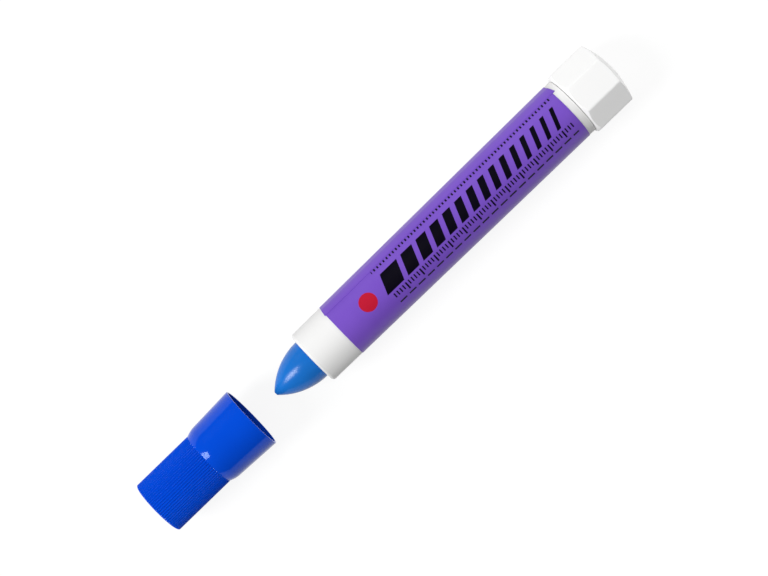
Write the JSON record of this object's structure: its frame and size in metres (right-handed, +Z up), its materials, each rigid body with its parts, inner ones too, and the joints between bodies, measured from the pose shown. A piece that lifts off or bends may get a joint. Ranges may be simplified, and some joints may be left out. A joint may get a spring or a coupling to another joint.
{
  "type": "solid paint marker",
  "caption": "Twist-up solid paint marker: tapered white barrel with a purple label, faceted twist knob, pointed blue paint stick and a ribbed blue cap, taken off.",
  "frame": {"origin": "centre of the whole object's footprint, on the surface that it lies on", "axes": "+X along the marker from the cap to the twist knob, +Z up, one knob flat down"},
  "size_m": [0.1614, 0.0188, 0.0188],
  "materials": {
    "barrel_white": "satin",
    "label_purple": "satin",
    "knob_white": "satin",
    "inner_natural": "satin",
    "seal_black": "matte",
    "paint_blue": "satin",
    "cap_blue": "gloss",
    "liner_clear": "satin"
  },
  "bodies": {
    "barrel": {"barrel": "barrel_white", "label_sleeve": "label_purple", "end_bush": "inner_natural"},
    "knob": {"knob": "knob_white", "spindle": "inner_natural", "seal_ring": "seal_black"},
    "stick": {"carrier": "inner_natural", "paint_stick": "paint_blue"},
    "cap": {"cap_shell": "cap_blue", "cap_liner": "liner_clear"}
  },
  "joints": [
    {"name": "knob_turn", "type": "hinge", "parent": "barrel", "child": "knob", "pos_m": [0.06711, 0, 0.0094], "axis": [1, 0, 0], "range_deg": [-720, 1260]},
    {"name": "stick_slide", "type": "slide", "parent": "barrel", "child": "stick", "axis": [1, 0, 0], "range_m": [-0.00802, 0.01402]},
    {"name": "cap_slide", "type": "slide", "parent": "barrel", "child": "cap", "axis": [1, 0, 0], "range_m": [0, 0.03166]}
  ],
  "couplings": [
    {"joint": "stick_slide", "follows": "knob_turn", "m_per_rad": 0.00063662}
  ]
}
